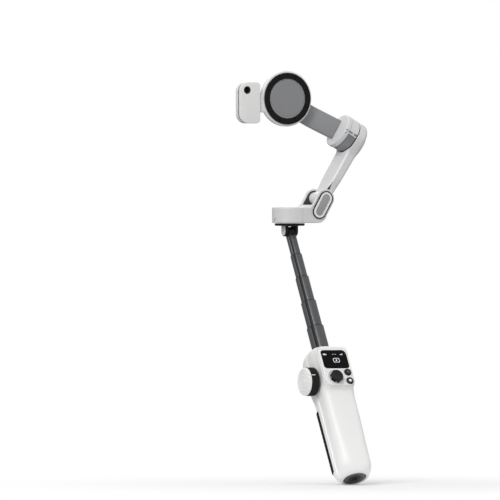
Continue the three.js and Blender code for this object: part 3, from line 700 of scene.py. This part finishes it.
def side_parts():
    place = HANDLE @ shifted(0, -2, 106) @ SIDEWAYS
    panel = plate(rounded(9.6, 27, 4.79), 16.8, 17.6, 0.3)
    openings = [rounded(3.9, 9.9, 1.94, 0, 6), rounded(5.3, 10.3, 2.64, 0, -6.4)]
    carve(panel, *[plate(opening, 10, 20, 0) for opening in openings])
    show(panel, place, "side_panel")
    port = band(rounded(3.3, 9.3, 1.64, 0, 6), rounded(2.5, 8.5, 1.24, 0, 6), 13, 17.4, 0.12)
    tongue = plate(rounded(0.8, 6.4, 0.2, 0, 6), 13.1, 16.9, 0.1)
    backing = plate(rounded(3.2, 9.2, 1.6, 0, 6), 12.8, 13.3, 0.05)
    show(join_forms(port, tongue, backing), place, "usb_port")
    key = plate(rounded(4.6, 9.6, 2.29, 0, -6.4), 14.8, 18.7, 0.7, 0.2)
    show(key, place, "power_button")
    mark = band(circle(1.0, 0, -6.4, 32), circle(0.75, 0, -6.4, 32), 18.7, 18.74, 0)
    show(mark, place, name="power_mark", finish=PAINT_MARK, body="power_button", slot="black_plastic")
    trigger = turn(plate(rounded(9, 13, 3.6, 0, 97), -18.6, -12.6, 1.7, 0.3), TO_FRONT)
    show(trigger, HANDLE, "trigger")


def dial():
    """A knurled ring and a ridged white cap on the left of the head."""
    place = HANDLE @ shifted(0, -4, 100) @ TO_X
    knurls = 72

    def edge(grow=0.0):
        points = []
        for i in range(knurls * 4):
            wave = (0.0, 0.5, 1.0, 0.5)[i % 4]
            radius = 13.2 + grow - 0.42 * (1 - wave)
            angle = 2 * math.pi * i / (knurls * 4)
            points.append((radius * math.cos(angle), radius * math.sin(angle)))
        return points

    wheel = plate(edge, -26.4, -18.6, 0.7, 0.7)
    unite(wheel, rod(2.5, -19.5, -15.5, 0.2, 32))
    show(wheel, place, "dial_ring", sharp=50)
    rings = [(0, -26.7), (12.9, -26.7), (12.9, -28.2), (12.1, -29.0), (11.2, -29.3), (10.2, -29.35),
             (9.9, -29.0), (9.4, -29.0), (9.1, -29.5), (7.2, -29.6), (6.9, -29.25), (6.4, -29.25),
             (6.1, -29.7), (4.0, -29.75), (3.7, -29.4), (3.3, -29.4), (3.0, -29.8), (0, -29.9)]
    cap = lathe(rings, 0.3, 128)
    show(cap, place, "dial_cap", sharp=50)
    on_cap = block((-29.2, -26.8), (-0.42, 0.42), (12.2, 13.02), 0.1)
    on_ring = block((-26.3, -22.6), (-0.42, 0.42), (12.6, 13.32), 0.1)
    toward_user = shifted(0, -4, 100) @ Matrix.Rotation(math.radians(90), 4, "X")
    line = turn(join_forms(on_cap, on_ring), toward_user)
    show(line, HANDLE, name="dial_line", finish=CREAM_MARK, body="dial", slot="white_shell")


# Rod: round tubes with a long key groove each, and a rim at the mouth.

# Each section: its node, its width, and its lower and upper end.
SECTIONS = [("rod_section_5", 16, 119, 159), ("rod_section_4", 14.2, 147, 186),
            ("rod_section_3", 12.5, 174, 212), ("rod_section_2", 10.9, 200, 236),
            ("rod_section_1", 9.4, 224, 256)]
KEY_ANGLE = math.radians(223)


def key_outline(radius, depth, width):
    """A circle with one shallow flat-bottomed groove."""
    half = width / 2 / radius

    def outline(grow=0.0):
        points = []
        for i in range(96):
            angle = 2 * math.pi * i / 96
            off = abs((angle - KEY_ANGLE + math.pi) % (2 * math.pi) - math.pi)
            sunk = depth * (1 - min(max((off - half) / 0.07, 0), 1))
            reach = radius + grow - sunk
            points.append((reach * math.cos(angle), reach * math.sin(angle)))
        return points

    return outline


def key_strip(radius, width, low, high):
    """A thin dark strip that lies in a section's groove."""
    half = width / 2 / radius
    steps = [KEY_ANGLE - half + 2 * half * i / 8 for i in range(9)]
    outer = [((radius + 0.1) * math.cos(a), (radius + 0.1) * math.sin(a)) for a in steps]
    inner = [((radius - 0.05) * math.cos(a), (radius - 0.05) * math.sin(a)) for a in reversed(steps)]
    return plate(fixed(outer + inner), low, high, 0)


def rod_sections():
    for i, (name, width, low, high) in enumerate(SECTIONS):
        radius = width / 2
        bore = SECTIONS[i + 1][1] / 2 + 0.3 if i + 1 < len(SECTIONS) else radius - 1.2
        wall = radius - bore
        sunk = min(0.35, wall * 0.5)
        outer = key_outline(radius, sunk, radius * 0.4)
        show(band(outer, circle(bore, steps=96), low, high, 0.22), HANDLE, name, sharp=50)
        show(key_strip(radius - sunk, radius * 0.4, low + 0.5, high - 0.7), HANDLE, name=name + "_strip",
             finish=FINISH["black_plastic"], body=BODY_OF[name], slot="black_plastic")
        rim = tube(radius + 0.04, radius - 0.2, high - 0.85, high - 0.3, 0.06)
        show(rim, HANDLE, name=name + "_rim", finish=FINISH["black_plastic"], body=BODY_OF[name],
             slot="black_plastic")
    tip = SECTIONS[-1][3]
    head = lathe([(0, tip - 8), (3.2, tip - 8), (3.2, tip + 0.3), (4.7, tip + 0.3), (4.7, tip + 1.2),
                  (3.8, tip + 1.8), (0, tip + 1.8)], 0.2, 64)
    neck = block((-3.2, 3.2), (-3.4, 3.4), (tip + 0.6, 262), 0.5)
    eye = turn(rod(4.2, -3.2, 3.2, 0.4), shifted(0, 0, 262) @ TO_X)
    unite(head, neck, eye)
    carve(head, turn(rod(1.8, -9, 9, 0), shifted(0, 0, 262) @ TO_X))
    show(head, HANDLE, "rod_head")


def neck_parts():
    disc = lathe([(0, 5.2), (13.2, 5.2), (14, 5.9), (14, 7.5), (0, 7.5)], 0.5)
    forms = [disc]
    for side in (-1, 1):
        ear = plate(ear_outline, 0, 2.9, 0.45)
        forms.append(turn(ear, shifted(side * 5.05 - 1.45) @ SIDEWAYS))
    forms.append(block((-4.2, 4.2), (-4.6, 4.6), (4.6, 6.2), 0.3))
    fork = forms[0]
    unite(fork, *forms[1:])
    carve(fork, turn(rod(1.65, -9, 9, 0), TO_X))
    show(fork, NECK, "neck_fork")
    # Silver plates on the outer faces of both ears are a painted highlight: light colour standing in for the
    # glint on the black fork's sides.
    sides = []
    for side in (-1, 1):
        highlight_plate = plate(lambda grow=0.0: ear_outline(grow - 0.7), 0, 0.35, 0.12)
        sides.append(turn(highlight_plate, shifted(side * 6.65 - 0.175) @ SIDEWAYS))
    highlight_plates = join_forms(*sides)
    show(highlight_plates, NECK, name="neck_painted_highlight", finish=FINISH["silver_shell"], body="neck",
         slot="black_plastic")
    pin = turn(lathe([(0, -6.7), (1.5, -6.7), (1.5, 6.7), (0, 6.7)], 0.3, 40), TO_X)
    show(pin, NECK, "neck_pin", finish=DARK_GREY)



def ear_outline(grow=0.0):
    """Drawn with X to the back and Y up."""
    radius = 4.7 + grow
    lower = arc(0, 0, radius, math.pi, 2 * math.pi, 24)
    return lower + [(radius, 6.2 + grow), (-radius, 6.2 + grow)]


# Pan housing: a flat drum whose hinge end carries two cheeks.

HINGE = (31.0, 22.8)
CHEEK = 8.9
HALF_DEPTH = 13.3
FOOT_DROP = 14.0
FOOT = (HINGE[0] - FOOT_DROP * math.sin(LEAN), HINGE[1] - FOOT_DROP * math.cos(LEAN))
DRUM_RADIUS = 16.5
SHOULDER = FOOT[0] - 7.9
TOE = 9.6
# The layers on a cheek: name, outer and inner radius, thickness.
CHEEK_LAYERS = (("trim", 6.9, 6.05, 1.0), ("cap", 5.8, 3.85, 1.25), ("inlay", 3.7, None, 1.05))


def stadium(radius, centre=HINGE, foot=FOOT):
    def outline(grow=0.0):
        start = -LEAN
        far = arc(*centre, radius + grow, start, start + math.pi, 24)
        return far + arc(*foot, radius + grow, start + math.pi, start + 2 * math.pi, 24)

    return outline


def facing_front(piece):
    """A piece drawn with X right and Y up, and depth towards the user."""
    return turn(piece, TO_FRONT)


def hinge_bore(radius):
    return facing_front(turn(rod(radius, -40, 40, 0), shifted(*HINGE)))


def pan_housing():
    drum = lathe([(0, 0), (DRUM_RADIUS, 0), (DRUM_RADIUS, 14.9), (0, 14.9)], 1.3, 128)
    flank = [(0, -DRUM_RADIUS + 0.1), (SHOULDER, -HALF_DEPTH), (FOOT[0], -HALF_DEPTH)]
    wing = flank + [(x, -y) for x, y in reversed(flank)]
    bridge = plate(fixed(wing), 0.0, 14.9, 0)
    soften_edges(bridge, 1.0, 60, 3)
    toe = turn(rod(TOE, -HALF_DEPTH, HALF_DEPTH, 0.6, 96), TO_Y)
    turn(toe, shifted(FOOT[0] - 1, 0, TOE))
    cheeks = facing_front(plate(stadium(CHEEK), -HALF_DEPTH, HALF_DEPTH, 0.6))
    whole = drum
    unite(whole, bridge, toe, cheeks)
    slot = facing_front(plate(slot_outline, -11, 11, 0))
    carve(whole, slot)
    remesh(whole, 0.34, 7)
    carve(whole, rod(13.8, -1, 12.7, 0), hinge_bore(2.15))
    notch = plate(fixed([(-5.4, -1.0), (4.6, -1.0), (0.6, 5.4)]), DRUM_RADIUS - 1.1, DRUM_RADIUS + 2, 0)
    turn(notch, Matrix.Rotation(math.radians(186), 4, "Z") @ SIDEWAYS)
    carve(whole, notch)
    show(whole, PAN, "pan_housing", sharp=50)
    for side, depth in (("front", 1), ("rear", -1)):
        for part, outer, inner, top in CHEEK_LAYERS:
            low = HALF_DEPTH + 0.2
            if inner:
                piece = band(stadium(outer), stadium(inner), low, low + top, 0.25)
            else:
                piece = plate(stadium(outer), low, low + top, 0.3)
            if depth < 0:
                turn(piece, Matrix.Scale(-1, 4, (0, 0, 1)))
            finish = INLAY_GREY if part == "inlay" else None
            show(facing_front(piece), PAN, f"fold_{part}_{side}", finish=finish)
    # A thin dark grey sheet on the rear cheek's inner face: painted shade in the hinge slot, partly also the
    # dark plastic there.
    hinge_shade = facing_front(plate(stadium(CHEEK - 1.7), -11.05, -10.8, 0.1))
    carve(hinge_shade, hinge_bore(2.3), block((-9, 60), (-30, 30), (-9, 15.2), 0))
    show(hinge_shade, PAN, name="hinge_painted_shade", finish=DARK_GREY, body="pan", slot="black_plastic")


def slot_outline(grow=0.0):
    radius = 6.1 + grow
    points = arc(*HINGE, radius, -math.pi / 2, -LEAN, 12)
    out = (HINGE[0] + 40 * math.sin(LEAN) + 3 * radius, HINGE[1] + 40 * math.cos(LEAN))
    return points + [out, (HINGE[0] - 40, HINGE[1] + 40), (HINGE[0] - 40, HINGE[1] - radius)]


# Lower arm: +Z from the hinge pin to the tilt axis, +X outward.

CUP_RADIUS = 16.5
CUP_INNER = -1.0
CUP_OUTER = 9.2
BAR_HINGE = {"middle": 1.6, "thickness": 8.4, "width": 21.0}
BAR_HEAD = {"middle": 4.0, "thickness": 10.4, "width": 24.0}


def along_bar(key, z):
    share = ease(z, 10, 24) if key == "width" else np.clip(z / (ARM_LENGTH - 6), 0, 1)
    return BAR_HINGE[key] + (BAR_HEAD[key] - BAR_HINGE[key]) * share


def arm_field(x, y, z):
    half_thickness = along_bar("thickness", z) / 2
    bar = box_field(x - along_bar("middle", z), y, half_thickness, along_bar("width", z) / 2, 2.6)
    bar = rounded_both(bar, z - ARM_LENGTH, 1.0)
    bar = rounded_both(bar, 0.5 - z, 2.0)
    cup_middle = (CUP_INNER + CUP_OUTER) / 2
    round_edge = np.where(x > cup_middle, 4.6, 0.5)
    past_face = np.abs(x - cup_middle) - (CUP_OUTER - CUP_INNER) / 2
    cup = rounded_both(np.hypot(y, z - ARM_LENGTH) - CUP_RADIUS, past_face, round_edge)
    barrel = rounded_both(np.hypot(x, z) - 5.6, np.abs(y) - 10.6, 0.6)
    return blended(blended(bar, cup, 5.0), barrel, 1.4)


# A recess in the arm's front above the cheek, and the outline of the dark grey sheet at its bottom, which is
# painted shade.
WEDGE = fixed([(-2.2, 6.0), (1.6, 6.0), (-0.6, 18.0)])
WEDGE_SHADE = fixed([(-2.0, 6.2), (1.4, 6.2), (-0.6, 17.4)])


def lower_arm():
    flat = 2.1
    directions = []
    for a in angles_round(128):
        directions.append(tuple(Vector((math.cos(a), flat * math.sin(a))).normalized()))
    top = ARM_LENGTH + CUP_RADIUS
    rows = (round_rows(-5.599, 0, 14)
            + rows_between((0, 0), (6, 18), (26, 20), (44, 8), (52, 14), (ARM_LENGTH, 12))
            + list(reversed(round_rows(top - 0.002, ARM_LENGTH, 40))))

    def middle_of(z):
        rise = float(ease(z, 0, 12))
        return (3.6 * rise, 0.0)

    arm = solve(arm_field, rows, directions, middle_of)
    cup_at = shifted(0, 0, ARM_LENGTH) @ TO_X
    pocket = turn(rod(13.9, -40, 5.2, 0), cup_at)
    room = turn(rod(17.1, -40, CUP_INNER, 0, 128), cup_at)
    seam = turn(tube(13.2, 12.95, CUP_OUTER - 0.35, CUP_OUTER + 4, 0), cup_at)
    bore = turn(rod(2.3, -40, 40, 0), TO_Y)
    wedge = facing_front(plate(WEDGE, 9.2, 16, 0))
    carve(arm, pocket, room, seam, bore, wedge)
    show(arm, LOWER_ARM, "lower_arm", "tilt_motor_cover", sharp=45)
    # Painted shade: a dark grey sheet laid at the bottom of the recess.
    wedge_shade = facing_front(plate(WEDGE_SHADE, 9.1, 9.35, 0))
    show(wedge_shade, LOWER_ARM, name="arm_wedge_painted_shade", finish=DARK_GREY, body="lower_arm", slot="black_plastic")


# Upper arm: +Z along the tilt axis towards the mount, +X along the lower arm, +Y back.

DRUM_NEAR = 1.3
DRUM_FAR = 10.4
DISC_FACE = 15.6
STRAP_HALF = 9.6
STRAP_BACK = 12.8
STRAP_FRONT = 0.6
STRAP_BEND = 42.0
STRAP_THICKNESS = 2.9
SLANT = (STRAP_BACK - STRAP_FRONT) / (STRAP_BEND - DISC_FACE)
SLANT_LENGTH = math.hypot(1, SLANT)


def round_motor(degrees, radius, z):
    """A point round the tilt motor; the angle goes from the top of the motor towards the user."""
    angle = math.radians(degrees)
    return (radius * math.cos(angle), -radius * math.sin(angle), z)


def motor_hood():
    """The light shell over the upper half of the dark motor body."""
    low = DRUM_NEAR + 0.75
    high = DRUM_FAR + 0.25
    section = rounded(0.62, high - low, 0.12, 16.19, (high + low) / 2)()
    steps = 90
    loops = []
    for i in range(steps + 1):
        degrees = -95 + 190 * i / steps
        loops.append([round_motor(degrees, radius, z) for radius, z in section])
    hood = skin(loops)
    slots = []
    for low, high in ((DRUM_NEAR - 1, DRUM_NEAR + 4.4), (DRUM_FAR - 3.4, DRUM_FAR + 1)):
        slots.append(side_slot(88, low, high))
    return carve(hood, *slots)


def side_slot(degrees, low, high):
    cutter = block((-1.0, 1.0), (-20, -15.2), (low, high), 0.4)
    return turn(cutter, Matrix.Rotation(math.radians(90 - degrees), 4, "Z"))


def strap_outline(inner, outer):
    """The strap's edge seen along the lower arm: it slants back from the disc, then runs behind the phone."""
    start = DISC_FACE + 0.2

    def line(depth):
        bend = STRAP_BEND - depth * (SLANT_LENGTH - 1) / SLANT
        back = STRAP_BACK + depth
        return [(start, STRAP_FRONT + depth * SLANT_LENGTH), (bend, back), (ARM_REACH, back)]

    near = line(inner)
    far = line(outer)[::-1]
    path = [near[0]] + round_corner(near[0], near[1], near[2], 6) + [near[2], far[0]]
    path += round_corner(far[0], far[1], far[2], 6) + [far[2]]
    return fixed(path)


STRAP_TURN = Matrix(((0, 0, -1, 0), (0, 1, 0, 0), (1, 0, 0, 0), (0, 0, 0, 1)))


def strap(inner, outer, node, edge):
    form = turn(plate(strap_outline(inner, outer), -STRAP_HALF, STRAP_HALF, 0), STRAP_TURN)
    soften_edges(form, edge, 50, 3)
    carve(form, facing_back(rod(15.8, -40, 40, 0)))
    show(form, UPPER_ARM, node, sharp=42)


def upper_arm():
    near = DRUM_NEAR + 0.7
    core = lathe([(14.4, near), (15.95, near), (15.95, DRUM_FAR), (14.4, DRUM_FAR)], 0.25, 128)
    low = DRUM_NEAR - 0.1
    high = near - 0.05
    gasket = lathe([(14.4, low), (15.9, low), (15.9, high), (14.4, high)], 0.1, 128)
    show(gasket, UPPER_ARM, name="tilt_motor_gasket", finish=FINISH["black_rubber"], body="upper_arm",
         slot="black_rubber")
    show(core, UPPER_ARM, "tilt_drum")
    show(motor_hood(), UPPER_ARM, name="tilt_motor_hood", finish=FINISH["silver_shell"], body="upper_arm",
         slot="silver_shell")
    profile = [(0, -3), (2.6, -3), (2.6, DRUM_FAR + 0.3), (16.5, DRUM_FAR + 0.3), (16.5, DISC_FACE - 0.6),
               (15.6, DISC_FACE), (0, DISC_FACE)]
    disc = lathe(profile, 0.9, 128)
    carve(disc, side_slot(88, DRUM_FAR - 1, DISC_FACE - 0.6), side_slot(98, DRUM_FAR + 1.6, DISC_FACE - 0.6))
    show(disc, UPPER_ARM, "tilt_rotor")
    strap(0, STRAP_THICKNESS, "upper_arm", 0.5)
    strap(STRAP_THICKNESS + 0.12, 2 * STRAP_THICKNESS + 0.3, "upper_arm_cover", 1.1)


def facing_back(piece):
    return turn(piece, shifted(0, 0, ARM_REACH) @ TO_Y)


# Mount: +Z forward to the phone's back, X right, Y up. Depths are behind the phone.


def behind_phone(profile, edge=0.4, segments=128):
    return lathe([(r, -depth) for r, depth in profile], edge, segments)


def roll_motor():
    cup = [(3.2, 12.6), (14.5, 12.6), (15.5, 13.5), (15.5, 25.6), (13.5, 25.6), (13.5, 14.6), (3.2, 14.6)]
    show(behind_phone(cup), MOUNT, "roll_motor_housing")
    lid = [(0, 25.9), (15.5, 25.9), (15.5, 26.8), (14.2, 28.0), (9.4, 28.0), (9.1, 27.7), (8.7, 27.7),
           (8.4, 28.0), (0, 28.0)]
    show(behind_phone(lid), MOUNT, "roll_motor_cover")


def mount_parts():
    disc = behind_phone([(0, 5.6), (25.2, 5.6), (26, 6.4), (26, 10.2), (24.6, 12), (0, 12)], 0.8)
    bridge = block((-28.2, -16), (-12.9, 5.1), (-11.4, -6.4), 1.2)
    unite(disc, bridge)
    carve(disc, behind_phone([(19.6, 4.6), (22.3, 4.6), (22.3, 8.2), (19.6, 8.2)], 0))
    show(disc, MOUNT, "mount_housing")
    pad = behind_phone([(18.6, 4.0), (24.0, 4.0), (24.0, 5.3), (18.6, 5.3)], 0.4)
    spokes = []
    for i in range(8):
        spoke = block((0, 40), (-0.4, 0.4), (-4.5, 1), 0.1)
        spokes.append(turn(spoke, Matrix.Rotation((i + 0.5) * math.pi / 4, 4, "Z")))
    carve(pad, *spokes)
    show(pad, MOUNT, "mount_pad")
    face = behind_phone([(0, 4.5), (16.6, 4.5), (17.0, 4.7), (18.2, 4.4), (18.2, 5.3), (0, 5.3)], 0.25)
    show(face, MOUNT, "mount_disc")


TRACKER = rounded(21.7, 38.6, 9, -39.15, -3.9, (0.45, 1, 1, 0.45))
LENS = (-42.2, 7.8)


def tracker():
    def layer(inward, front, back, near, far):
        return plate(lambda grow=0.0: TRACKER(grow - inward), -back, -front, near, far)

    def lens_hole():
        return turn(rod(3.6, -8.6, 2, 0), shifted(*LENS))

    front = carve(layer(0, 4.1, 6.0, 0.9, 0.1), lens_hole())
    show(front, MOUNT, "tracker_front")
    show(carve(layer(0.6, 6.1, 8.1, 0.05, 0.05), lens_hole()), MOUNT, "tracker_body")
    show(carve(layer(0, 8.2, 14, 0.1, 2.2), lens_hole()), MOUNT, "tracker_back")
    ring = lathe([(2.0, -8.2), (3.3, -8.2), (3.3, -4.1), (3.0, -3.8), (2.5, -4.0), (2.0, -4.5)], 0.2, 64)
    show(turn(ring, shifted(*LENS)), MOUNT, "lens_ring")
    glass = lathe([(0, -7.6), (1.7, -7.6), (1.7, -5.2), (1.2, -4.75), (0, -4.6)], 0.3, 48)
    show(turn(glass, shifted(*LENS)), MOUNT, "lens")


handle_shells()
grip_pad()
bottom_parts()
control_panel()
screen_marks()
controls()
side_parts()
dial()
rod_sections()
neck_parts()
pan_housing()
lower_arm()
upper_arm()
roll_motor()
mount_parts()
tracker()

# Studio.

BACKGROUND = (1.0, 1.0, 1.0)
SKY_LIGHT = 0.9
GROUND_LIGHT = 0.2
CAMERA_AZIMUTH = math.radians(-27)
CAMERA_ELEVATION = math.radians(0.4)
CAMERA_DISTANCE = 11.0
VIEW_WIDTH = 0.465
LOOK_AT = Vector((-0.0329, 0.1478, 0.2096))


def look(holder, target):
    holder.rotation_euler = (Vector(target) - holder.location).to_track_quat("-Z", "Y").to_euler()


def camera():
    data = bpy.data.cameras.new("camera")
    holder = bpy.data.objects.new("camera", data)
    bpy.context.scene.collection.objects.link(holder)
    side = math.cos(CAMERA_ELEVATION)
    across = math.sin(CAMERA_AZIMUTH) * side
    away = Vector((across, -math.cos(CAMERA_AZIMUTH) * side, math.sin(CAMERA_ELEVATION)))
    holder.location = LOOK_AT + away * CAMERA_DISTANCE
    look(holder, LOOK_AT)
    data.lens = data.sensor_width * CAMERA_DISTANCE / VIEW_WIDTH
    bpy.context.scene.camera = holder


def soft_light(name, position, size, power, target=(0, 0.07, 0.2)):
    data = bpy.data.lights.new(name, "AREA")
    data.size = size
    data.energy = power
    holder = bpy.data.objects.new(name, data)
    holder.location = position
    bpy.context.scene.collection.objects.link(holder)
    look(holder, target)


def seen_by_camera(tree):
    return linked(tree, "ShaderNodeLightPath").outputs["Is Camera Ray"]


def world():
    """A white background; the light that it gives is bright from above and dim from below."""
    made = bpy.data.worlds.new("studio")
    bpy.context.scene.world = made
    made.use_nodes = True
    tree = made.node_tree
    background = tree.nodes["Background"]
    background.inputs["Color"].default_value = (*BACKGROUND, 1)
    light = linked(tree, "ShaderNodeBackground", Strength=1.0)
    place = linked(tree, "ShaderNodeTexCoord")
    split = linked(tree, "ShaderNodeSeparateXYZ")
    tree.links.new(place.outputs["Generated"], split.inputs[0])
    height = linked(tree, "ShaderNodeMapRange", interpolation_type="SMOOTHSTEP")
    height.inputs["From Min"].default_value = -0.7
    height.inputs["From Max"].default_value = 0.8
    height.inputs["To Min"].default_value = GROUND_LIGHT
    height.inputs["To Max"].default_value = SKY_LIGHT
    tree.links.new(split.outputs["Z"], height.inputs["Value"])
    tree.links.new(height.outputs["Result"], light.inputs["Strength"])
    mix = linked(tree, "ShaderNodeMixShader")
    tree.links.new(seen_by_camera(tree), mix.inputs[0])
    tree.links.new(light.outputs[0], mix.inputs[1])
    tree.links.new(background.outputs[0], mix.inputs[2])
    tree.links.new(mix.outputs[0], tree.nodes["World Output"].inputs["Surface"])


def floor():
    """A pale floor that fades into the background."""
    radius = 1500
    form = lathe([(0, -2), (radius, -2), (radius, 0), (0, 0)], 0.5, 96)
    lowest = cad_box[0].z
    form.data.transform(Matrix.Translation((0, 0.07, lowest - 0.0005)) @ MILLIMETRES)
    form.name = "floor"
    made = bpy.data.materials.new("floor")
    made.use_nodes = True
    tree = made.node_tree
    surface = tree.nodes["Principled BSDF"]
    surface.inputs["Base Color"].default_value = (0.9, 0.9, 0.9, 1)
    surface.inputs["Roughness"].default_value = 0.9
    glow = linked(tree, "ShaderNodeEmission", Strength=1.0)
    glow.inputs["Color"].default_value = (*BACKGROUND, 1)
    unseen = linked(tree, "ShaderNodeBsdfTransparent")
    far = linked(tree, "ShaderNodeMixShader")
    tree.links.new(seen_by_camera(tree), far.inputs[0])
    tree.links.new(unseen.outputs[0], far.inputs[1])
    tree.links.new(glow.outputs[0], far.inputs[2])
    place = linked(tree, "ShaderNodeTexCoord")
    length = linked(tree, "ShaderNodeVectorMath", operation="LENGTH")
    tree.links.new(place.outputs["Object"], length.inputs[0])
    fade = linked(tree, "ShaderNodeMapRange", interpolation_type="SMOOTHSTEP")
    fade.inputs["From Min"].default_value = 0.02
    fade.inputs["From Max"].default_value = 0.4
    tree.links.new(length.outputs["Value"], fade.inputs["Value"])
    mix = linked(tree, "ShaderNodeMixShader")
    tree.links.new(fade.outputs["Result"], mix.inputs[0])
    tree.links.new(surface.outputs[0], mix.inputs[1])
    tree.links.new(far.outputs[0], mix.inputs[2])
    tree.links.new(mix.outputs[0], tree.nodes["Material Output"].inputs["Surface"])
    form.data.materials.append(made)


camera()
world()
soft_light("key", (-1.3, -0.9, 1.5), 0.9, 17)
soft_light("fill", (1.4, -1.2, 0.6), 1.4, 2.5)
soft_light("rim", (0.6, 1.5, 1.3), 1.0, 6)
floor()
bpy.context.scene.view_settings.view_transform = "Standard"
